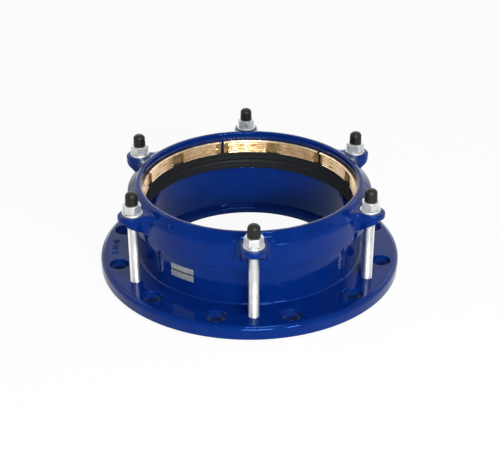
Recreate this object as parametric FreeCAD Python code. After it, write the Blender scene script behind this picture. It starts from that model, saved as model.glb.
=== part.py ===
import FreeCAD, Part
import math
import os

Vector = FreeCAD.Vector

# Sizes are in mm. The origin is the middle of the flange's sealing face, and Z runs up towards the pipe.
# The front is -Y.

# Plain end of the pipe that the adapter takes, and the room round it at rest
pipe_r = 157.5
grip_clearance = 0.5
gasket_clearance = 1.0
socket_clearance = 2.5

# Body wall and the lip at its foot, which stops the pipe
wall = 11.0
lip_step = 10.0
lip_height = 9.5
lip_round = 3.0

# Flange, drilled for twelve M24 bolts
flange_thickness = 24.5
raised_face = 4.0
face_width = 35.0
wall_to_bolts = 34.0
bolts_to_rim = 25.0
bolt_holes = 12
bolt_hole_r = 14.0
rim_round = 7.5
wall_fillet = 6.0

# Mouth of the body, where the gasket sits
mouth_floor = 80.0
mouth_ledge = 3.0
mouth_depth = 19.0
mouth_flare = 9.0
mouth_wall = 4.8
mouth_band = 5.0
mouth_swell_rise = 6.0

# Gasket, a wedge with a groove in its bore
gasket_height = 28.7
gasket_side_gap = 0.3
gasket_top_bevel = 2.2
gasket_groove = 6.0
gasket_groove_depth = 1.4

# Toothed grip segments
grips = 6
grip_height = 20.8
grip_top_width = 6.5
grip_slope = 0.4
grip_gap = 4.4
grip_start_angle = 44.3
grip_top_bevel = 2.0
teeth = 6
tooth_depth = 1.5
tooth_land = 1.0
web_angle = 8.0
web_depth = 3.2
web_top_rim = 3.5

# Gland ring
cone_clearance = 0.5
gland_lip_gap = 5.0
gland_lip_wall = 7.0
gland_lip_rise = 12.5
gland_lip_round = 2.4
gland_cone_slope = 1.0
skirt_gap = 1.2
skirt_wall = 6.0
skirt_overlap = 9.5

# Lugs of the gland ring
lug_r = 18.5
lug_reach = 3.5
lug_bevel = 1.6
lug_drop = 7.0
lug_plate = 8.0
lug_cheek = 6.0
lug_tip_drop = 9.0
lug_root_drop = 28.5
lug_root_flare = 9.0
lug_root_fillet = 7.0
lug_hole_clearance = 1.0

# Studs, washers, nuts and caps, all M16
studs = 6
stud_r = 8.0
stud_from_skirt = 13.0
stud_seat_depth = 16.0
stud_above_nut = 15.4
thread_clearance = 0.05
washer_r = 15.0
washer_thickness = 3.0
washer_clearance = 0.5
nut_flats = 24.0
nut_height = 13.0
nut_bevel = 1.3
nut_turns = (0.0, 4.0, -19.0, 3.0, 12.0, -8.0)
cap_foot_r = 9.4
cap_top_r = 8.8
cap_crown = 2.9
cap_crown_bevel = 2.0
cap_lift = 0.3
cap_clearance = 0.1

# Radii that follow from the sizes above, from the pipe outwards
tooth_r = pipe_r + grip_clearance
gasket_r = pipe_r + gasket_clearance
socket_r = pipe_r + socket_clearance
waterway_r = socket_r - lip_step
body_r = socket_r + wall
face_r = waterway_r + face_width
bolt_circle_r = body_r + wall_to_bolts
flange_r = bolt_circle_r + bolts_to_rim
mouth_floor_r = socket_r + mouth_ledge
mouth_top_r = mouth_floor_r + mouth_flare
mouth_r = mouth_top_r + mouth_wall
skirt_inner_r = mouth_r + skirt_gap
skirt_r = skirt_inner_r + skirt_wall
gland_lip_inner_r = tooth_r + gland_lip_gap
gland_lip_r = gland_lip_inner_r + gland_lip_wall
grip_top_r = tooth_r + grip_top_width
grip_foot_r = grip_top_r + grip_slope * grip_height
cone_top_r = grip_top_r + cone_clearance
cone_foot_r = grip_foot_r + cone_clearance
stud_circle_r = skirt_r + stud_from_skirt

# Heights that follow, from the flange upwards
body_top = mouth_floor + mouth_depth
gasket_top = mouth_floor + gasket_height
grip_top = gasket_top + grip_height
gland_top = grip_top + gland_lip_rise
shoulder = gland_top - (skirt_r - gland_lip_r) * gland_cone_slope
skirt_foot = body_top - skirt_overlap
lug_top = gland_top - lug_drop
washer_top = lug_top + washer_thickness
nut_top = washer_top + nut_height
stud_top = nut_top + stud_above_nut
stud_foot = flange_thickness - stud_seat_depth
cap_foot = nut_top + cap_lift

# Angles from +X, with the first stud at the front
front = -90.0
stud_step = 360.0 / studs
hole_step = 360.0 / bolt_holes
grip_step = 360.0 / grips
grip_span = grip_step - math.degrees(grip_gap / tooth_r)

# How far a cutting tool runs past what it cuts, and how near two places are when they count as one
past = 1.0
near = 1e-3


def outline(corners, flat=False):
    """Face inside corners given as (first, second) or (first, second, rounding), in XZ, or in XY when flat."""
    def place(first, second):
        return Vector(first, second, 0) if flat else Vector(first, 0, second)

    points = [place(corner[0], corner[1]) for corner in corners]
    bends = []
    for i, here in enumerate(points):
        rounding = corners[i][2] if len(corners[i]) > 2 else 0
        before = (points[i - 1] - here).normalize()
        after = (points[(i + 1) % len(points)] - here).normalize()
        if rounding:
            half = before.getAngle(after) / 2
            reach = rounding / math.tan(half)
            inward = (before + after).normalize()
            middle = here + inward * (rounding / math.sin(half) - rounding)
            bends.append((here + before * reach, middle, here + after * reach))
        else:
            bends.append((here, None, here))
    edges = []
    for i, (start, middle, end) in enumerate(bends):
        last_end = bends[i - 1][2]
        if last_end.distanceToPoint(start) > near:
            edges.append(Part.LineSegment(last_end, start).toShape())
        if middle:
            edges.append(Part.Arc(start, middle, end).toShape())
    return Part.Face(Part.Wire(edges))


def turned(corners, angle=360.0):
    """Solid turned about Z from corners given as (radius, height) or (radius, height, rounding)."""
    return outline(corners).revolve(Vector(0, 0, 0), Vector(0, 0, 1), angle)


def placed(shape, radius, angle):
    """Copy of a shape made at the Z axis, moved out by radius and turned to angle."""
    copy = shape.copy()
    copy.translate(Vector(radius, 0, 0))
    copy.rotate(Vector(0, 0, 0), Vector(0, 0, 1), angle)
    return copy


def flange_body():
    """Casting with the drilled flange, the wall, the stop lip and the flared mouth."""
    swell_top = body_top - mouth_band
    casting = turned([
        (waterway_r, 0),
        (face_r, 0),
        (face_r, raised_face),
        (flange_r, raised_face),
        (flange_r, flange_thickness, rim_round),
        (body_r, flange_thickness, wall_fillet),
        (body_r, swell_top - mouth_swell_rise),
        (mouth_r, swell_top),
        (mouth_r, body_top),
        (mouth_top_r, body_top),
        (mouth_floor_r, mouth_floor),
        (socket_r, mouth_floor),
        (socket_r, lip_height),
        (waterway_r, lip_height, lip_round),
    ])
    hole = Part.makeCylinder(bolt_hole_r, flange_thickness + 2 * past, Vector(0, 0, -past))
    seat = Part.makeCylinder(stud_r + thread_clearance, stud_seat_depth + past, Vector(0, 0, stud_foot))
    holes = [placed(hole, bolt_circle_r, front + (i + 0.5) * hole_step) for i in range(bolt_holes)]
    seats = [placed(seat, stud_circle_r, front + i * stud_step) for i in range(studs)]
    return casting.cut(holes + seats)


def gasket():
    """Rubber wedge ring that stands on the ledge of the mouth, with a groove round its bore."""
    groove_middle = (mouth_floor + gasket_top) / 2
    side_r = mouth_top_r - gasket_side_gap
    return turned([
        (gasket_r, mouth_floor),
        (mouth_floor_r - gasket_side_gap, mouth_floor),
        (side_r, body_top),
        (side_r - gasket_top_bevel, gasket_top),
        (gasket_r, gasket_top),
        (gasket_r, groove_middle + gasket_groove / 2),
        (gasket_r + gasket_groove_depth, groove_middle),
        (gasket_r, groove_middle - gasket_groove / 2),
    ])


def grip_segment():
    """Brass wedge with two toothed pads and a recessed web between them, its middle at +X."""
    pitch = (grip_height - grip_top_bevel - tooth_land) / (teeth - 1)
    bore = []
    for i in range(teeth):
        low = gasket_top + i * pitch
        bore.append((tooth_r, low))
        bore.append((tooth_r, low + tooth_land))
        if i < teeth - 1:
            bore.append((tooth_r + tooth_depth, low + (tooth_land + pitch) / 2))
    bore.append((tooth_r + grip_top_bevel, grip_top))
    wedge = turned(bore + [(grip_top_r, grip_top), (grip_foot_r, gasket_top)], grip_span)
    wedge.rotate(Vector(0, 0, 0), Vector(0, 0, 1), -grip_span / 2)
    web = turned([
        (tooth_r - past, gasket_top - past),
        (tooth_r + web_depth, gasket_top - past),
        (tooth_r + web_depth, grip_top - web_top_rim),
        (tooth_r - past, grip_top - web_top_rim),
    ], web_angle)
    web.rotate(Vector(0, 0, 0), Vector(0, 0, 1), -web_angle / 2)
    return wedge.cut(web)


def lug():
    """Lug of the gland ring at +X: an eye for the stud with a channel below it, open at its tip."""
    def skirt_at(side):
        return math.sqrt(skirt_r ** 2 - side ** 2) - past / 2

    tip = stud_circle_r + lug_reach + lug_r
    wide = lug_r + lug_root_flare
    foot = lug_top - lug_root_drop
    eye = outline([
        (gland_lip_r, -wide),
        (skirt_at(wide), -wide),
        (skirt_at(lug_r), -lug_r, lug_root_fillet),
        (tip, -lug_r, lug_r),
        (tip, lug_r, lug_r),
        (skirt_at(lug_r), lug_r, lug_root_fillet),
        (skirt_at(wide), wide),
        (gland_lip_r, wide),
    ], flat=True)
    eye.translate(Vector(0, 0, foot))
    block = eye.extrude(Vector(0, 0, lug_root_drop))
    rim = []
    for edge in block.Edges:
        if edge.BoundBox.ZMin > lug_top - near and edge.BoundBox.XMin > skirt_at(wide) - near:
            rim.append(edge)
    block = block.makeChamfer(lug_bevel, rim)
    side = outline([
        (gland_lip_r, foot),
        (skirt_r, foot),
        (tip, lug_top - lug_tip_drop),
        (tip, lug_top),
        (gland_lip_r, lug_top),
    ])
    side.translate(Vector(0, -wide, 0))
    block = block.common(side.extrude(Vector(0, 2 * wide, 0)))
    channel_width = 2 * (lug_r - lug_cheek)
    channel_corner = Vector(skirt_r, -channel_width / 2, lug_top - lug_plate - lug_root_drop)
    channel = Part.makeBox(tip - skirt_r + past, channel_width, lug_root_drop, channel_corner)
    return block.cut(channel)


def gland_ring():
    """Casting that the studs draw down: lip, cone, skirt and one lug for each stud."""
    ring = turned([
        (gland_lip_inner_r, skirt_foot),
        (skirt_r, skirt_foot),
        (skirt_r, shoulder),
        (gland_lip_r, gland_top, gland_lip_round),
        (gland_lip_inner_r, gland_top, gland_lip_round),
    ])
    one_lug = lug()
    ring = ring.fuse([placed(one_lug, 0, front + i * stud_step) for i in range(studs)])
    cone_meets_lip = grip_top + (cone_top_r - gland_lip_inner_r) / grip_slope
    pocket = turned([
        (gland_lip_inner_r - past, cone_meets_lip),
        (gland_lip_inner_r, cone_meets_lip),
        (cone_foot_r, gasket_top),
        (skirt_inner_r, gasket_top),
        (skirt_inner_r, skirt_foot - past),
        (gland_lip_inner_r - past, skirt_foot - past),
    ])
    hole_foot = Vector(0, 0, lug_top - lug_root_drop)
    hole = Part.makeCylinder(stud_r + lug_hole_clearance, lug_root_drop + past, hole_foot)
    holes = [placed(hole, stud_circle_r, front + i * stud_step) for i in range(studs)]
    return ring.cut([pocket] + holes)


def stud():
    """Stud that stands in its tapped seat in the flange."""
    return Part.makeCylinder(stud_r, stud_top - stud_foot, Vector(0, 0, stud_foot))


def washer():
    """Flat washer on the lug."""
    return turned([
        (stud_r + washer_clearance, lug_top),
        (washer_r, lug_top),
        (washer_r, washer_top),
        (stud_r + washer_clearance, washer_top),
    ])


def nut():
    """Hexagon nut with its upper corners turned off, one flat towards +X."""
    corner_r = nut_flats / math.sqrt(3)
    corners = []
    for i in range(6):
        angle = math.radians(60 * i + 30)
        corners.append((corner_r * math.cos(angle), corner_r * math.sin(angle)))
    hexagon = outline(corners, flat=True)
    hexagon.translate(Vector(0, 0, washer_top))
    bore_r = stud_r + thread_clearance
    blank = turned([
        (bore_r, washer_top),
        (corner_r + past, washer_top),
        (corner_r + past, nut_top - (nut_bevel + past) / 2),
        (corner_r - nut_bevel, nut_top),
        (bore_r, nut_top),
    ])
    return hexagon.extrude(Vector(0, 0, nut_height)).common(blank)


def cap():
    """Plastic cap pushed over the end of the stud."""
    bore_r = stud_r + cap_clearance
    crown = stud_top + cap_crown
    return turned([
        (0, stud_top),
        (bore_r, stud_top),
        (bore_r, cap_foot),
        (cap_foot_r, cap_foot),
        (cap_top_r, crown - cap_crown_bevel),
        (cap_top_r - cap_crown_bevel, crown),
        (0, crown),
    ])


def pieces():
    """Every piece in its place, by name."""
    named = {
        "flange_body": flange_body(),
        "gland_ring": gland_ring(),
        "gasket": gasket(),
    }
    segment = grip_segment()
    for i in range(grips):
        named[f"grip_segment_{i + 1}"] = placed(segment, 0, front + grip_start_angle + i * grip_step)
    fasteners = {"stud": stud(), "washer": washer(), "nut": nut(), "cap": cap()}
    for kind, shape in fasteners.items():
        for i in range(studs):
            own = shape.copy()
            if kind == "nut":
                own.rotate(Vector(0, 0, 0), Vector(0, 0, 1), nut_turns[i % len(nut_turns)])
            named[f"{kind}_{i + 1}"] = placed(own, stud_circle_r, front + i * stud_step)
    return named


os.makedirs("parts", exist_ok=True)
for name, shape in pieces().items():
    shape.exportStep(f"parts/{name}.step")
    print(f"{name}: {len(shape.Solids)} solid, valid {shape.isValid()}, volume {shape.Volume / 1000:.1f} cm3")
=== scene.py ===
import math

import bmesh
import bpy
from mathutils import Matrix, Vector


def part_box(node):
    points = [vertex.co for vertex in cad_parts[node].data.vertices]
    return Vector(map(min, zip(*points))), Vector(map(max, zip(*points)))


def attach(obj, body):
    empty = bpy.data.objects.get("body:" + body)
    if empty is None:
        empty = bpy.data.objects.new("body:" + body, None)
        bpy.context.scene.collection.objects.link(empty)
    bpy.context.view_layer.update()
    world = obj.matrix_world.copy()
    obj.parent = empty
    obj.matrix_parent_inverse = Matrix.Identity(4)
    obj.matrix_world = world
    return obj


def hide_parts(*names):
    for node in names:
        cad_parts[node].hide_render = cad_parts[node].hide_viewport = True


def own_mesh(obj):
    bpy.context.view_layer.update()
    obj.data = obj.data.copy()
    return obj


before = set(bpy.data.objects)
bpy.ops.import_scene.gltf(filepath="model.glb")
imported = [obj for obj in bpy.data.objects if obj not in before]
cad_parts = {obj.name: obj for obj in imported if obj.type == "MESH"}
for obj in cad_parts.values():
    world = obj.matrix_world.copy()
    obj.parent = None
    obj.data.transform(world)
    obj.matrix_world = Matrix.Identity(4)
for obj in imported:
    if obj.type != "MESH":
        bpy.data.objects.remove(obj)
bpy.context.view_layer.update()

mm = 0.001


def rise(node):
    """Heights of a node's foot and top."""
    low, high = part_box(node)
    return low.z, high.z


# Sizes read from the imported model, in metres
flange_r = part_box("flange_body")[1].x
body_top = rise("flange_body")[1]
skirt_foot, gland_top = rise("gland_ring")
lug_tip = -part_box("gland_ring")[0].y
gasket_foot, gasket_top = rise("gasket")
grip_foot, grip_top = rise("grip_segment_1")
stud_low, stud_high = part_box("stud_1")
stud_r = (stud_high.x - stud_low.x) / 2
stud_circle_r = -(stud_high.y + stud_low.y) / 2
washer_foot, washer_top = rise("washer_1")
washer_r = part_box("washer_1")[1].x
nut_top = rise("nut_1")[1]
cap_foot, cap_top = rise("cap_1")
cap_foot_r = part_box("cap_1")[1].x
count = len([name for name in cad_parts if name.startswith("stud_")])
step = 360 / count
front = -90

# Flange and body
waterway_r = 150 * mm
socket_r = 160 * mm
body_r = 171 * mm
face_r = 185 * mm
raised_face = 4 * mm
flange_thickness = 24.5 * mm
rim_round = 7.5 * mm
wall_fillet = 3 * mm
bolt_circle_r = 205 * mm
bolt_hole_r = 14 * mm
bolt_holes = 12
mouth_floor_r = 163 * mm
mouth_top_r = 172 * mm
mouth_r = 176.8 * mm
mouth_band = 5 * mm
mouth_swell = 6 * mm
lip_height = 9.5 * mm

# Gland ring and its lugs
gland_lip_inner_r = 163 * mm
gland_lip_r = 170 * mm
skirt_inner_r = 178 * mm
skirt_r = 184 * mm
shoulder = gland_top - (skirt_r - gland_lip_r)
lug_top = washer_foot
lug_reach = 3.5 * mm
lug_r = lug_tip - stud_circle_r - lug_reach
lug_root_flare = 9 * mm
lug_root_fillet = 7 * mm
lug_root_drop = 28.5 * mm
lug_tip_drop = 9 * mm
lug_plate = 8 * mm
lug_cheek = 6 * mm
lug_hole_r = 9 * mm
lug_edge_bevel = 1.6 * mm
casting_voxel = 1.53 * mm

# Gasket and grip segments
gasket_r = 158.5 * mm
tooth_r = 158 * mm
teeth = 6
tooth_depth = 1.5 * mm
tooth_land = 1 * mm
grip_top_r = 164.5 * mm
grip_slope = 0.4
grip_foot_r = grip_top_r + grip_slope * (grip_top - grip_foot)
cone_foot_r = grip_foot_r + 0.5 * mm
grip_bevel = 2 * mm
grip_gap = 4.4 * mm
grip_span = step - math.degrees(grip_gap / tooth_r)
grip_start_angle = 44.3
web_angle = 8
web_depth = 3.2 * mm
web_top_rim = 3.5 * mm
end_recess_angle = 2.4

# Fasteners
thread_pitch = 2 * mm
thread_depth = 1.2 * mm
nut_flats = 24 * mm
nut_turns = (0, 25, -17, -24, 17, -11)

# Bare label and plain bars
label_angle = 13.4
label_place = front - 36.2
label_foot = 49.3 * mm
label_band_foot = 59.2 * mm
label_band_top = 61.7 * mm
label_top = 70.1 * mm
label_overlap = 0.1 * mm
foil_thickness = 0.5 * mm
band_thickness = 0.3 * mm
bar_width = 1.9 * mm
bar_depth = 2.2 * mm
flange_bars_r = 208 * mm

turn_steps = 192
near = 1e-6
lamp_distance = 2.2


# Modelling helpers

def take(piece):
    """Makes a piece the only one that the next operator works on."""
    bpy.ops.object.select_all(action="DESELECT")
    piece.select_set(True)
    bpy.context.view_layer.objects.active = piece


def pick(piece, kind, test):
    """Opens a piece for editing, with only the parts of a kind selected whose middle passes a test."""
    take(piece)
    bpy.ops.object.mode_set(mode="EDIT")
    bpy.ops.mesh.select_mode(type=kind)
    bpy.ops.mesh.select_all(action="DESELECT")
    shape = bmesh.from_edit_mesh(piece.data)
    for part in {"VERT": shape.verts, "EDGE": shape.edges, "FACE": shape.faces}[kind]:
        corners = [part] if kind == "VERT" else part.verts
        middle = sum((corner.co for corner in corners), Vector()) / len(corners)
        if test(middle):
            part.select_set(True)
    shape.select_flush_mode()
    bmesh.update_edit_mesh(piece.data)


def pick_all(piece):
    """Opens a piece for editing with all of it selected."""
    take(piece)
    bpy.ops.object.mode_set(mode="EDIT")
    bpy.ops.mesh.select_all(action="SELECT")


def done():
    """Closes the piece that is open for editing."""
    bpy.ops.object.mode_set(mode="OBJECT")


def close_up(piece):
    """Merges doubled vertices and points the faces outwards."""
    pick_all(piece)
    bpy.ops.mesh.remove_doubles(threshold=near)
    bpy.ops.mesh.normals_make_consistent(inside=False)
    done()


def drawn(name, corners, flat=False):
    """Closed outline in XZ, or in XY when flat. A corner is (first, second) or (first, second, rounding)."""
    bpy.ops.object.select_all(action="DESELECT")
    bpy.ops.mesh.primitive_circle_add(vertices=len(corners), fill_type="NOTHING")
    piece = bpy.context.active_object
    piece.name = piece.data.name = name
    points = [Vector((c[0], c[1], 0) if flat else (c[0], 0, c[1])) for c in corners]
    for vertex, point in zip(piece.data.vertices, points):
        vertex.co = point
    for i, corner in enumerate(corners):
        if len(corner) == 3:
            here = points[i]
            bend = (points[i - 1] - here).angle(points[(i + 1) % len(points)] - here)
            pick(piece, "VERT", lambda place: (place - here).length < near)
            bpy.ops.mesh.bevel(
                affect="VERTICES", offset_type="OFFSET", offset=corner[2] / math.tan(bend / 2),
                segments=max(3, min(10, round(corner[2] / mm) + 2)),
            )
            done()
    return piece


def turned(name, corners, angle=360, steps=turn_steps):
    """Solid turned about Z from corners given as (radius, height) or (radius, height, rounding)."""
    piece = drawn(name, corners)
    pick_all(piece)
    if angle < 360:
        bpy.ops.mesh.edge_face_add()
    bpy.ops.mesh.spin(steps=steps, angle=math.radians(angle), center=(0, 0, 0), axis=(0, 0, 1))
    done()
    close_up(piece)
    return piece


def turn(piece, angle, radius=0):
    """Moves a piece out by radius along X, then turns it about Z."""
    piece.data.transform(Matrix.Rotation(math.radians(angle), 4, "Z") @ Matrix.Translation((radius, 0, 0)))


def centre_on_x(piece):
    """Turns a piece about Z until its middle is on +X."""
    middle = sum((vertex.co for vertex in piece.data.vertices), Vector())
    turn(piece, -math.degrees(math.atan2(middle.y, middle.x)))


def copied(piece, name, angle=0, radius=0):
    """Copy of a piece with its own mesh, moved out by radius and turned about Z."""
    copy = piece.copy()
    copy.data = piece.data.copy()
    copy.name = copy.data.name = name
    bpy.context.scene.collection.objects.link(copy)
    turn(copy, angle, radius)
    return copy


def joined(pieces):
    """One piece made of several."""
    bpy.ops.object.select_all(action="DESELECT")
    for piece in pieces:
        piece.select_set(True)
    bpy.context.view_layer.objects.active = pieces[0]
    bpy.ops.object.join()
    return pieces[0]


def finished(piece, kind, **settings):
    """Adds a modifier with its settings and applies it."""
    take(piece)
    bpy.ops.object.modifier_add(type=kind)
    modifier = piece.modifiers[-1]
    for name, value in settings.items():
        setattr(modifier, name, value)
    bpy.ops.object.modifier_apply(modifier=modifier.name)


def softened(piece, width, angle=30):
    """Bevels the edges of a piece that are sharper than an angle."""
    limit = math.radians(angle)
    finished(piece, "BEVEL", width=width, segments=2, limit_method="ANGLE", angle_limit=limit)


def carve(piece, tool, operation="DIFFERENCE"):
    """Cuts a piece with a tool, or keeps or adds what they share, and clears the tool away."""
    finished(piece, "BOOLEAN", operation=operation, object=tool, solver="EXACT")
    bpy.data.objects.remove(tool)


def smooth(piece, angle=35):
    """Smooth shading with crisp edges, and flats that stay flat."""
    take(piece)
    bpy.ops.object.shade_smooth_by_angle(angle=math.radians(angle))
    finished(piece, "WEIGHTED_NORMAL", keep_sharp=True)


# Castings

def flange_casting():
    """Drilled flange, wall, stop lip and flared mouth, with softened edges as the coating leaves them."""
    swell_top = body_top - mouth_band
    casting = turned("flange_casting", [
        (waterway_r, 0, 0.8 * mm),
        (face_r, 0, 0.8 * mm),
        (face_r, raised_face, 0.6 * mm),
        (flange_r, raised_face, 1.5 * mm),
        (flange_r, flange_thickness, rim_round),
        (body_r, flange_thickness, wall_fillet),
        (body_r, swell_top - mouth_swell, 4 * mm),
        (mouth_r, swell_top, 2.5 * mm),
        (mouth_r, body_top, 1.2 * mm),
        (mouth_top_r, body_top, 0.8 * mm),
        (mouth_floor_r, gasket_foot, 0.4 * mm),
        (socket_r, gasket_foot, 0.8 * mm),
        (socket_r, lip_height, 1.5 * mm),
        (waterway_r, lip_height, 3 * mm),
    ])
    flare = 1.2 * mm
    past = 2 * mm
    drill = turned("drill", [
        (0, raised_face - past),
        (bolt_hole_r + flare + past, raised_face - past),
        (bolt_hole_r, raised_face + flare, 1.5 * mm),
        (bolt_hole_r, flange_thickness - flare, 1.5 * mm),
        (bolt_hole_r + flare + past, flange_thickness + past),
        (0, flange_thickness + past),
    ], steps=64)
    seat_r = stud_r + 0.05 * mm
    seat_flare = 0.7 * mm
    seat_drill = turned("seat_drill", [
        (0, stud_low.z),
        (seat_r, stud_low.z),
        (seat_r, flange_thickness - seat_flare, 0.8 * mm),
        (seat_r + seat_flare + past, flange_thickness + past),
        (0, flange_thickness + past),
    ], steps=48)
    hole_step = 360 / bolt_holes
    drills = []
    for i in range(bolt_holes):
        drills.append(copied(drill, "drill", front + (i + 0.5) * hole_step, bolt_circle_r))
    for i in range(count):
        drills.append(copied(seat_drill, "drill", front + i * step, stud_circle_r))
    bpy.data.objects.remove(drill)
    bpy.data.objects.remove(seat_drill)
    carve(casting, joined(drills))
    smooth(casting)
    return casting


def lug():
    """One lug of the gland ring at +X: an eye for the stud, with a channel below it open at its tip."""
    wide = lug_r + lug_root_flare
    foot = lug_top - lug_root_drop
    root_foot = skirt_inner_r + 3 * mm
    root_top = gland_lip_r + 2 * mm
    tip_round = 0.999 * lug_r
    eye = drawn("lug", [
        (root_foot, -wide),
        (math.sqrt(skirt_r ** 2 - wide ** 2), -wide),
        (math.sqrt(skirt_r ** 2 - lug_r ** 2), -lug_r, lug_root_fillet),
        (lug_tip, -lug_r, tip_round),
        (lug_tip, lug_r, tip_round),
        (math.sqrt(skirt_r ** 2 - lug_r ** 2), lug_r, lug_root_fillet),
        (math.sqrt(skirt_r ** 2 - wide ** 2), wide),
        (root_foot, wide),
    ], flat=True)
    eye.data.transform(Matrix.Translation((0, 0, foot)))
    pick_all(eye)
    bpy.ops.mesh.edge_face_add()
    bpy.ops.mesh.extrude_region_move(TRANSFORM_OT_translate={"value": (0, 0, lug_root_drop)})
    done()
    pick(eye, "VERT", lambda place: place.z > lug_top - near and place.x < root_foot + near)
    bpy.ops.transform.translate(value=(root_top - root_foot, 0, 0))
    done()
    pick(eye, "EDGE", lambda place: place.z > lug_top - near and place.x > skirt_r - lug_r)
    bpy.ops.mesh.bevel(affect="EDGES", offset=lug_edge_bevel, segments=3)
    done()
    slope = Vector((lug_root_drop - lug_tip_drop, 0, skirt_r - lug_tip))
    pick_all(eye)
    bpy.ops.mesh.bisect(plane_co=(skirt_r, 0, foot), plane_no=slope, use_fill=True, clear_outer=True)
    done()
    close_up(eye)
    bpy.ops.object.select_all(action="DESELECT")
    bpy.ops.mesh.primitive_cube_add(size=1, location=(0, 0, 0))
    channel = bpy.context.active_object
    length = lug_tip - skirt_r
    channel.data.transform(
        Matrix.Translation((skirt_r + length / 2 + 2 * mm, 0, lug_top - lug_plate - lug_root_drop / 2))
        @ Matrix.Diagonal((length + 4 * mm, 2 * (lug_r - lug_cheek), lug_root_drop, 1))
    )
    carve(eye, channel)
    past_top = lug_top + 5 * mm
    hole = turned("hole", [
        (0, foot),
        (lug_hole_r, foot),
        (lug_hole_r, past_top),
        (0, past_top),
    ], steps=48)
    turn(hole, 0, stud_circle_r)
    carve(eye, hole)
    return eye


def at_lug_root(place):
    """Whether a place is where the side of a lug runs out into the ring."""
    radius = math.hypot(place.x, place.y)
    angle = math.degrees(math.atan2(place.y, place.x)) - front
    side = abs(math.radians((angle + step / 2) % step - step / 2)) * radius
    beside = lug_r - 5 * mm < side < lug_r + lug_root_flare + 4 * mm
    at_ring = gland_lip_r + 1 * mm < radius < skirt_r + 7 * mm
    return beside and at_ring and place.z > lug_top - lug_root_drop - 3 * mm


def gland_casting():
    """Lip, cone, skirt and lugs as one rounded casting."""
    cone_meets_lip = grip_foot + (cone_foot_r - gland_lip_inner_r) / grip_slope
    ring = turned("gland_casting", [
        (gland_lip_inner_r, gland_top, 2.4 * mm),
        (gland_lip_inner_r, cone_meets_lip),
        (cone_foot_r, grip_foot),
        (skirt_inner_r, grip_foot, 1 * mm),
        (skirt_inner_r, skirt_foot, 1 * mm),
        (skirt_r, skirt_foot, 1.2 * mm),
        (skirt_r, shoulder, 2.5 * mm),
        (gland_lip_r, gland_top, 2.4 * mm),
    ])
    one_lug = lug()
    lugs = [copied(one_lug, "lug", front + i * step) for i in range(count)]
    bpy.data.objects.remove(one_lug)
    casting = joined([ring] + lugs)
    casting.data.remesh_voxel_size = casting_voxel
    take(casting)
    bpy.ops.object.voxel_remesh()
    finished(casting, "SMOOTH", factor=0.5, iterations=4)
    roots = casting.vertex_groups.new(name="roots")
    roots.add([vertex.index for vertex in casting.data.vertices if at_lug_root(vertex.co)], 1, "ADD")
    finished(casting, "SMOOTH", factor=0.5, iterations=24, vertex_group="roots")
    take(casting)
    bpy.ops.object.shade_smooth()
    return casting


# Gasket and grips

def gasket_ring():
    """Rubber wedge ring with a groove round its bore and two faint ones beside it."""
    middle = (gasket_foot + gasket_top) / 2
    side_groove_offset = 7.4 * mm
    outer_foot = mouth_floor_r - 0.3 * mm
    outer_r = mouth_top_r - 0.3 * mm
    corners = [
        (gasket_r, gasket_foot, 0.8 * mm),
        (outer_foot, gasket_foot, 0.5 * mm),
        (outer_r, body_top, 1.5 * mm),
        (outer_r - 2.2 * mm, gasket_top, 0.8 * mm),
        (gasket_r, gasket_top, 0.8 * mm),
    ]
    grooves = (
        (side_groove_offset, 2.4 * mm, 0.4 * mm),
        (0, 6 * mm, 1.4 * mm),
        (-side_groove_offset, 2.4 * mm, 0.4 * mm),
    )
    for offset, width, depth in grooves:
        corners.append((gasket_r, middle + offset + width / 2, 0.5 * mm))
        corners.append((gasket_r + depth, middle + offset, 0.5 * mm))
        corners.append((gasket_r, middle + offset - width / 2, 0.5 * mm))
    ring = turned("gasket_ring", corners)
    smooth(ring)
    return ring


def toothed_grip():
    """Brass wedge with two toothed pads, recessed between them and at its ends, its middle at +X."""
    pitch = (grip_top - grip_foot - grip_bevel - tooth_land) / (teeth - 1)
    corners = []
    for i in range(teeth):
        low = grip_foot + i * pitch
        corners.append((tooth_r, low))
        corners.append((tooth_r, low + tooth_land))
        if i < teeth - 1:
            corners.append((tooth_r + tooth_depth, low + (tooth_land + pitch) / 2))
    corners += [(tooth_r + grip_bevel, grip_top), (grip_top_r, grip_top), (grip_foot_r, grip_foot)]
    wedge = turned("toothed_grip", corners, angle=grip_span, steps=32)
    centre_on_x(wedge)
    past = 1 * mm
    recesses = (
        (web_angle, 0),
        (2 * end_recess_angle, -grip_span / 2),
        (2 * end_recess_angle, grip_span / 2),
    )
    for width, place in recesses:
        recess = turned("recess", [
            (tooth_r - past, grip_foot - past),
            (tooth_r + web_depth, grip_foot - past),
            (tooth_r + web_depth, grip_top - web_top_rim, 0.8 * mm),
            (tooth_r - past, grip_top - web_top_rim),
        ], angle=width, steps=8)
        centre_on_x(recess)
        turn(recess, place)
        carve(wedge, recess)
    softened(wedge, 0.22 * mm)
    smooth(wedge)
    return wedge


def in_recess(place):
    """Whether a place is on the floor of a grip segment's recess."""
    angle = math.degrees(math.atan2(place.y, place.x)) - front - grip_start_angle
    beside = abs((angle + step / 2) % step - step / 2)
    deep = math.hypot(place.x, place.y) - tooth_r
    along = beside < web_angle / 2 or beside > grip_span / 2 - end_recess_angle
    return along and tooth_depth + 0.3 * mm < deep < web_depth + 0.3 * mm


def leave_cast(piece, material):
    """Gives the floors of a grip segment's recesses a second material."""
    piece.data.materials.append(material)
    pick(piece, "FACE", in_recess)
    piece.active_material_index = 1
    bpy.ops.object.material_slot_assign()
    done()


# Fasteners, made at the Z axis

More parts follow.
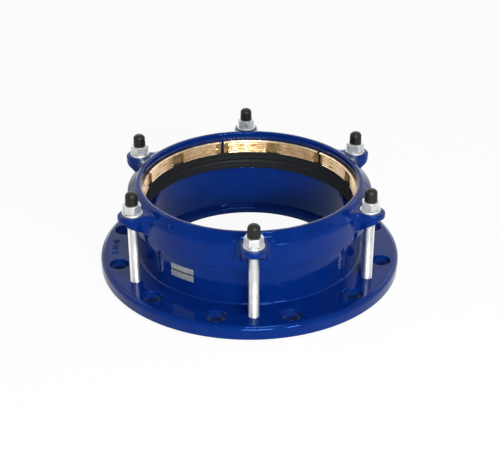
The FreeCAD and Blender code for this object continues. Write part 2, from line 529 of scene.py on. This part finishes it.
def threaded_stud():
    """Stud with a rolled thread over its whole length and turned ends."""
    bpy.ops.object.select_all(action="DESELECT")
    bpy.ops.mesh.primitive_circle_add(vertices=4, fill_type="NOTHING")
    rod = bpy.context.active_object
    rod.name = rod.data.name = "threaded_stud"
    root_r = stud_r - thread_depth
    start = stud_low.z - 2 * thread_pitch
    flank = 0.42 * thread_pitch
    points = [(root_r, 0), (stud_r, flank), (stud_r, thread_pitch - flank), (root_r, thread_pitch)]
    for vertex, (radius, height) in zip(rod.data.vertices, points):
        vertex.co = (radius, 0, start + height)
    middle = Vector((root_r, 0, start + thread_pitch / 2))
    pick(rod, "EDGE", lambda place: (place - middle).length < near)
    bpy.ops.mesh.delete(type="EDGE")
    done()
    turns = math.ceil((stud_high.z - stud_low.z) / thread_pitch) + 4
    finished(rod, "SCREW", axis="Z", angle=math.tau, screw_offset=thread_pitch, iterations=turns,
             steps=20, render_steps=20)
    close_up(rod)
    for height, normal in ((stud_low.z, -1), (stud_high.z, 1)):
        pick_all(rod)
        bpy.ops.mesh.bisect(
            plane_co=(0, 0, height), plane_no=(0, 0, normal), use_fill=True, clear_outer=True,
        )
        done()
    lead = 1.1 * mm
    blank = turned("blank", [
        (0, stud_low.z),
        (stud_r - lead, stud_low.z),
        (stud_r + near, stud_low.z + lead),
        (stud_r + near, stud_high.z - lead),
        (stud_r - lead, stud_high.z),
        (0, stud_high.z),
    ], steps=40)
    carve(rod, blank, "INTERSECT")
    smooth(rod, 50)
    return rod


def plated_washer():
    """Flat washer."""
    bore_r = stud_r + 0.5 * mm
    ring = turned("plated_washer", [
        (bore_r, washer_foot, 0.25 * mm),
        (washer_r, washer_foot, 0.4 * mm),
        (washer_r, washer_top, 0.7 * mm),
        (bore_r, washer_top, 0.4 * mm),
    ], steps=64)
    smooth(ring)
    return ring


def plated_nut():
    """Hexagon nut with its corners turned off above and below, one flat towards +X."""
    height = nut_top - washer_top
    corner_r = nut_flats / math.sqrt(3)
    bpy.ops.object.select_all(action="DESELECT")
    bpy.ops.mesh.primitive_cylinder_add(vertices=6, radius=corner_r, depth=height)
    hexagon = bpy.context.active_object
    hexagon.name = hexagon.data.name = "plated_nut"
    hexagon.data.transform(Matrix.Translation((0, 0, washer_top + height / 2)))
    bore_r = stud_r + 0.1 * mm
    top_r = nut_flats / 2 - 0.3 * mm
    foot_r = nut_flats / 2 - 0.9 * mm
    slant = math.tan(math.radians(30))
    reach = corner_r + 1 * mm
    blank = turned("blank", [
        (bore_r, washer_top + 0.6 * mm),
        (bore_r + 0.6 * mm, washer_top),
        (foot_r, washer_top),
        (reach, washer_top + (reach - foot_r) * slant),
        (reach, nut_top - (reach - top_r) * slant),
        (top_r, nut_top),
        (bore_r + 0.6 * mm, nut_top),
        (bore_r, nut_top - 0.6 * mm),
    ], steps=72)
    carve(hexagon, blank, "INTERSECT")
    softened(hexagon, 0.25 * mm, 25)
    smooth(hexagon)
    return hexagon


def end_cap():
    """Plastic cap over the end of the stud, with a rounded crown."""
    bore_r = stud_r + 0.1 * mm
    crown_r = 8.8 * mm
    cap = turned("end_cap", [
        (0, stud_high.z),
        (bore_r, stud_high.z),
        (bore_r, cap_foot),
        (cap_foot_r, cap_foot, 0.4 * mm),
        (crown_r, cap_top, 6 * mm),
        (0, cap_top),
    ], steps=64)
    smooth(cap)
    return cap


def wall_strip(name, low, high, thick):
    """Thin strip stuck on the body wall between two heights."""
    strip = turned(name, [
        (body_r - 0.2 * mm, low),
        (body_r + thick, low),
        (body_r + thick, high),
        (body_r - 0.2 * mm, high),
    ], angle=label_angle, steps=12)
    centre_on_x(strip)
    softened(strip, 0.1 * mm, 40)
    turn(strip, label_place)
    smooth(strip)
    return strip


def cast_bars(name, radius, height, lean, start, pitch, lengths):
    """Row of plain raised bars, with gaps where a length is 0, on a surface that leans back."""
    bars = []
    for i, length in enumerate(lengths):
        if length:
            bpy.ops.object.select_all(action="DESELECT")
            bpy.ops.mesh.primitive_cube_add(size=1, location=(0, 0, 0))
            bar = bpy.context.active_object
            bar.name = bar.data.name = name
            bar.data.transform(Matrix.Diagonal((bar_depth, bar_width, length * mm, 1)))
            finished(bar, "BEVEL", width=0.4 * mm, segments=3)
            bar.data.transform(Matrix.Rotation(math.radians(-lean), 4, "Y"))
            bar.data.transform(Matrix.Translation((0, 0, height)))
            turn(bar, start + i * math.degrees(pitch / radius), radius)
            bars.append(bar)
    row = joined(bars)
    smooth(row)
    return row


# Materials

def new_material(name):
    """Material with its nodes, its links and its shader."""
    material = bpy.data.materials.new(name)
    material.use_nodes = True
    tree = material.node_tree
    return material, tree.nodes, tree.links, tree.nodes["Principled BSDF"]


def noise(nodes, links, scale, detail=2.0, roughness=0.5):
    """Noise texture on Object coordinates."""
    place = nodes.new("ShaderNodeTexCoord")
    texture = nodes.new("ShaderNodeTexNoise")
    texture.inputs["Scale"].default_value = scale
    texture.inputs["Detail"].default_value = detail
    texture.inputs["Roughness"].default_value = roughness
    links.new(place.outputs["Object"], texture.inputs["Vector"])
    return texture.outputs["Fac"]


def ramp(nodes, links, value, stops):
    """Colour ramp over a value, from (position, colour) stops."""
    node = nodes.new("ShaderNodeValToRGB")
    node.color_ramp.elements[0].position = stops[0][0]
    node.color_ramp.elements[0].color = (*stops[0][1], 1)
    node.color_ramp.elements[1].position = stops[-1][0]
    node.color_ramp.elements[1].color = (*stops[-1][1], 1)
    for position, colour in stops[1:-1]:
        element = node.color_ramp.elements.new(position)
        element.color = (*colour, 1)
    links.new(value, node.inputs["Fac"])
    return node.outputs["Color"]


def span(nodes, links, value, low, high):
    """Value from 0 to 1 spread between low and high."""
    node = nodes.new("ShaderNodeMapRange")
    node.inputs["To Min"].default_value = low
    node.inputs["To Max"].default_value = high
    links.new(value, node.inputs["Value"])
    return node.outputs["Result"]


def bumps(nodes, links, shader, layers):
    """Chain of bumps on a shader, from (height, strength, distance) layers."""
    normal = None
    for height, strength, distance in layers:
        bump = nodes.new("ShaderNodeBump")
        bump.inputs["Strength"].default_value = strength
        bump.inputs["Distance"].default_value = distance
        links.new(height, bump.inputs["Height"])
        if normal:
            links.new(normal, bump.inputs["Normal"])
        normal = bump.outputs["Normal"]
    links.new(normal, shader.inputs["Normal"])


def blue_epoxy():
    """Glossy fusion bonded coating over a sand casting: orange peel on a slightly wavy surface."""
    material, nodes, links, shader = new_material("blue_epoxy")
    cloud = noise(nodes, links, 30, 3)
    colour = ramp(nodes, links, cloud, [
        (0.3, (0.0004, 0.012, 0.115)),
        (0.7, (0.0008, 0.017, 0.135)),
    ])
    links.new(colour, shader.inputs["Base Color"])
    links.new(span(nodes, links, cloud, 0.04, 0.09), shader.inputs["Roughness"])
    shader.inputs["IOR"].default_value = 1.5
    shader.inputs["Specular Tint"].default_value = (0.09, 0.23, 0.66, 1)
    bumps(nodes, links, shader, [
        (noise(nodes, links, 45, 2), 0.25, 1.2 * mm),
        (noise(nodes, links, 150, 3), 0.5, 0.2 * mm),
        (noise(nodes, links, 420, 2), 0.2, 0.06 * mm),
    ])
    return material


def moulded_rubber():
    """Matt black rubber with a faint bloom."""
    material, nodes, links, shader = new_material("moulded_rubber")
    bloom = noise(nodes, links, 60, 4)
    colour = ramp(nodes, links, bloom, [(0.3, (0.003, 0.004, 0.005)), (0.75, (0.007, 0.008, 0.010))])
    links.new(colour, shader.inputs["Base Color"])
    links.new(span(nodes, links, bloom, 0.55, 0.7), shader.inputs["Roughness"])
    shader.inputs["IOR"].default_value = 1.3
    bumps(nodes, links, shader, [(noise(nodes, links, 900, 3), 0.3, 0.06 * mm)])
    return material


def machined_brass():
    """Cast brass with machined faces and a little tarnish."""
    material, nodes, links, shader = new_material("machined_brass")
    tarnish = noise(nodes, links, 55, 4, 0.6)
    colour = ramp(nodes, links, tarnish, [
        (0.25, (0.55, 0.38, 0.20)),
        (0.5, (0.72, 0.53, 0.32)),
        (0.75, (0.90, 0.73, 0.53)),
    ])
    links.new(colour, shader.inputs["Base Color"])
    shader.inputs["Metallic"].default_value = 1
    links.new(span(nodes, links, noise(nodes, links, 200, 3), 0.27, 0.34), shader.inputs["Roughness"])
    bumps(nodes, links, shader, [(noise(nodes, links, 1100, 2), 0.04, 0.05 * mm)])
    return material


def cast_brass():
    """Dull brass as cast, left unmachined in the recesses."""
    material, nodes, links, shader = new_material("cast_brass")
    skin = noise(nodes, links, 90, 4, 0.6)
    colour = ramp(nodes, links, skin, [(0.3, (0.24, 0.15, 0.065)), (0.7, (0.52, 0.37, 0.18))])
    links.new(colour, shader.inputs["Base Color"])
    shader.inputs["Metallic"].default_value = 1
    links.new(span(nodes, links, skin, 0.4, 0.55), shader.inputs["Roughness"])
    bumps(nodes, links, shader, [(noise(nodes, links, 500, 3), 0.4, 0.1 * mm)])
    return material


def zinc_plate(name, dull, bright, roughness, metallic):
    """Zinc plating on steel with a satin haze."""
    material, nodes, links, shader = new_material(name)
    haze = noise(nodes, links, 160, 4, 0.6)
    colour = ramp(nodes, links, haze, [(0.3, dull), (0.7, bright)])
    links.new(colour, shader.inputs["Base Color"])
    shader.inputs["Metallic"].default_value = metallic
    links.new(span(nodes, links, haze, *roughness), shader.inputs["Roughness"])
    bumps(nodes, links, shader, [(noise(nodes, links, 1500, 2), 0.2, 0.04 * mm)])
    return material


def cap_plastic():
    """Dark grey moulded plastic with a fine grain."""
    material, nodes, links, shader = new_material("cap_plastic")
    grain = noise(nodes, links, 900, 3)
    colour = ramp(nodes, links, grain, [(0.3, (0.004, 0.004, 0.0035)), (0.7, (0.008, 0.008, 0.0075))])
    links.new(colour, shader.inputs["Base Color"])
    links.new(span(nodes, links, grain, 0.34, 0.46), shader.inputs["Roughness"])
    shader.inputs["IOR"].default_value = 1.35
    bumps(nodes, links, shader, [(grain, 0.25, 0.05 * mm)])
    return material


def bare_label():
    """Brushed grey foil."""
    material, nodes, links, shader = new_material("bare_label")
    streak = noise(nodes, links, 300, 3)
    colour = ramp(nodes, links, streak, [(0.3, (0.21, 0.23, 0.26)), (0.7, (0.38, 0.40, 0.42))])
    links.new(colour, shader.inputs["Base Color"])
    shader.inputs["Metallic"].default_value = 0.6
    links.new(span(nodes, links, streak, 0.3, 0.45), shader.inputs["Roughness"])
    bumps(nodes, links, shader, [(streak, 0.1, 0.03 * mm)])
    return material


def black_band():
    """Satin black film."""
    material, nodes, links, shader = new_material("black_band")
    speck = noise(nodes, links, 800, 2)
    colour = ramp(nodes, links, speck, [(0.3, (0.004, 0.004, 0.005)), (0.7, (0.009, 0.009, 0.010))])
    links.new(colour, shader.inputs["Base Color"])
    links.new(span(nodes, links, speck, 0.4, 0.5), shader.inputs["Roughness"])
    return material


def fitted(piece, node, body, material):
    """Gives a piece its material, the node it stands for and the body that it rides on."""
    piece.data.materials.clear()
    piece.data.materials.append(material)
    if node:
        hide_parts(node)
    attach(piece, body)
    return piece


# The object

epoxy = blue_epoxy()
foil = bare_label()
fitted(flange_casting(), "flange_body", "base", epoxy)
fitted(gland_casting(), "gland_ring", "gland", epoxy)

cone_middle = (gland_lip_r + skirt_r) / 2, (gland_top + shoulder) / 2, 45
flange_top = flange_bars_r, flange_thickness, 90
bar_rows = (
    ("gland_bars_left", "gland", cone_middle, -41, 3.8, (8, 8, 5, 0, 8, 5, 5, 8, 0, 8, 5, 8, 8, 0, 5, 8)),
    ("gland_bars_right", "gland", cone_middle, 26, 3.8, (8, 5, 8, 8, 0, 8, 8, 5, 0, 5, 8, 5)),
    ("flange_bars_left", "base", flange_top, -95.5, 4.4, (10, 10, 6, 0, 10, 6, 10, 0, 10, 10)),
    ("flange_bars_front", "base", flange_top, 30, 4.4, (10, 6, 0, 10, 10, 0, 6, 10)),
)
for name, body, place, start, pitch, lengths in bar_rows:
    bars = cast_bars(name, *place, front + start, pitch * mm, lengths)
    fitted(bars, None, body, epoxy)

strip = wall_strip("label_lower", label_foot, label_band_foot + label_overlap, foil_thickness)
fitted(strip, None, "base", foil)
strip = wall_strip("label_band", label_band_foot, label_band_top, band_thickness)
fitted(strip, None, "base", black_band())
strip = wall_strip("label_upper", label_band_top - label_overlap, label_top, foil_thickness)
fitted(strip, None, "base", foil)

gasket = fitted(gasket_ring(), "gasket", "base", moulded_rubber())
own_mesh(gasket)

brass = machined_brass()
raw_brass = cast_brass()
grip = toothed_grip()
for i in range(count):
    piece = copied(grip, f"toothed_grip_{i + 1}", front + grip_start_angle + i * step)
    fitted(piece, f"grip_segment_{i + 1}", f"grip_{i + 1}", brass)
    leave_cast(piece, raw_brass)
bpy.data.objects.remove(grip)

zinc = zinc_plate("zinc_plate", (0.76, 0.77, 0.77), (0.88, 0.88, 0.87), (0.26, 0.4), 1)
turned_zinc = zinc_plate("turned_zinc", (0.55, 0.57, 0.56), (0.74, 0.75, 0.73), (0.38, 0.5), 0.88)
plastic = cap_plastic()
stud, washer, nut, cap = threaded_stud(), plated_washer(), plated_nut(), end_cap()
for i in range(count):
    angle = front + i * step
    number = i + 1
    piece = copied(stud, f"threaded_stud_{number}", angle, stud_circle_r)
    fitted(piece, f"stud_{number}", "base", zinc)
    piece = copied(washer, f"plated_washer_{number}", angle, stud_circle_r)
    fitted(piece, f"washer_{number}", "gland", turned_zinc)
    piece = copied(nut, f"plated_nut_{number}", nut_turns[i])
    turn(piece, angle, stud_circle_r)
    fitted(piece, f"nut_{number}", f"nut_turner_{number}", turned_zinc)
    piece = copied(cap, f"end_cap_{number}", angle, stud_circle_r)
    fitted(piece, f"cap_{number}", f"cap_lift_{number}", plastic)
for piece in (stud, washer, nut, cap):
    bpy.data.objects.remove(piece)


# Floor, world, lamps and camera

def seen(nodes, links, mirrored=1):
    """1 where the camera looks, a share of it in mirrors and glass, and 0 for the light on the object."""
    path = nodes.new("ShaderNodeLightPath")
    total = path.outputs["Is Camera Ray"]
    for ray in ("Is Glossy Ray", "Is Transmission Ray"):
        add = nodes.new("ShaderNodeMath")
        add.operation = "MULTIPLY_ADD"
        add.use_clamp = True
        links.new(path.outputs[ray], add.inputs[0])
        add.inputs[1].default_value = mirrored
        links.new(total, add.inputs[2])
        total = add.outputs[0]
    return total


def floor():
    """Plain pale floor just under the flange's face."""
    bpy.ops.object.select_all(action="DESELECT")
    bpy.ops.mesh.primitive_plane_add(size=40, location=(0, 0, -0.3 * mm))
    plane = bpy.context.active_object
    plane.name = "floor"
    material, nodes, links, shader = new_material("floor")
    shader.inputs["Base Color"].default_value = (0.9, 0.9, 0.9, 1)
    shader.inputs["Roughness"].default_value = 0.9
    shader.inputs["Specular IOR Level"].default_value = 0
    glow = nodes.new("ShaderNodeEmission")
    share = nodes.new("ShaderNodeMath")
    share.operation = "MULTIPLY"
    share.inputs[1].default_value = 0.92
    links.new(seen(nodes, links, 0.6), share.inputs[0])
    mix = nodes.new("ShaderNodeMixShader")
    links.new(share.outputs[0], mix.inputs[0])
    links.new(shader.outputs[0], mix.inputs[1])
    links.new(glow.outputs[0], mix.inputs[2])
    links.new(mix.outputs[0], nodes["Material Output"].inputs["Surface"])
    plane.data.materials.append(material)


def world_light():
    """Pale surroundings, dimmer overhead in mirrors."""
    world = bpy.data.worlds.new("surroundings")
    bpy.context.scene.world = world
    world.use_nodes = True
    nodes, links = world.node_tree.nodes, world.node_tree.links
    light = nodes["Background"]
    light.inputs["Color"].default_value = (1, 1, 1, 1)
    light.inputs["Strength"].default_value = 0.08
    white = nodes.new("ShaderNodeBackground")
    white.inputs["Color"].default_value = (1, 1, 1, 1)
    place = nodes.new("ShaderNodeTexCoord")
    split = nodes.new("ShaderNodeSeparateXYZ")
    links.new(place.outputs["Generated"], split.inputs[0])
    dim = nodes.new("ShaderNodeMapRange")
    dim.inputs["From Min"].default_value = 0.5
    dim.inputs["From Max"].default_value = 0.9
    dim.inputs["To Min"].default_value = 1
    dim.inputs["To Max"].default_value = 0.4
    links.new(split.outputs["Z"], dim.inputs["Value"])
    strength = nodes.new("ShaderNodeMath")
    strength.operation = "MAXIMUM"
    links.new(dim.outputs["Result"], strength.inputs[0])
    links.new(nodes.new("ShaderNodeLightPath").outputs["Is Camera Ray"], strength.inputs[1])
    links.new(strength.outputs[0], white.inputs["Strength"])
    mix = nodes.new("ShaderNodeMixShader")
    links.new(seen(nodes, links), mix.inputs[0])
    links.new(light.outputs[0], mix.inputs[1])
    links.new(white.outputs[0], mix.inputs[2])
    links.new(mix.outputs[0], nodes["World Output"].inputs["Surface"])


def lamp(name, azimuth, elevation, size, power):
    """Soft lamp, wide by high, that faces the object. Azimuth 0 is the front, and 90 the right."""
    a, e = math.radians(azimuth), math.radians(elevation)
    out = Vector((math.sin(a) * math.cos(e), -math.cos(a) * math.cos(e), math.sin(e)))
    data = bpy.data.lights.new(name, "AREA")
    data.shape = "RECTANGLE"
    data.size, data.size_y = size
    data.energy = power
    piece = bpy.data.objects.new(name, data)
    piece.location = Vector((0, 0, 0.08)) + out * lamp_distance
    piece.rotation_mode = "QUATERNION"
    piece.rotation_quaternion = (-out).to_track_quat("-Z", "Y")
    bpy.context.scene.collection.objects.link(piece)


def camera():
    """Camera at the photograph's angle."""
    azimuth, elevation, distance = math.radians(-1.7), math.radians(28.9), 1.716
    target = Vector((0, 0, 0.064))
    back = Vector((
        math.sin(azimuth) * math.cos(elevation),
        -math.cos(azimuth) * math.cos(elevation),
        math.sin(elevation),
    ))
    data = bpy.data.cameras.new("camera")
    data.lens = 80.19
    data.sensor_width = 36
    data.shift_x = 0.0009
    data.shift_y = -0.0054
    data.clip_start = 0.05
    piece = bpy.data.objects.new("camera", data)
    piece.location = target + back * distance
    piece.rotation_mode = "QUATERNION"
    piece.rotation_quaternion = (-back).to_track_quat("-Z", "Y")
    bpy.context.scene.collection.objects.link(piece)
    bpy.context.scene.camera = piece


floor()
world_light()
lamp("key", 4, 20, (0.8, 0.22), 38)
lamp("side", 28, 24, (0.3, 0.2), 15)
lamp("back_left", -117, 42, (0.9, 0.7), 3.4)
lamp("back_right", 129, 32, (0.9, 0.7), 2.2)
lamp("overhead", 16, 71, (0.7, 0.2), 18)
lamp("back_low", 180, 12, (2.4, 0.8), 11)
camera()
bpy.context.scene.view_settings.view_transform = "Standard"
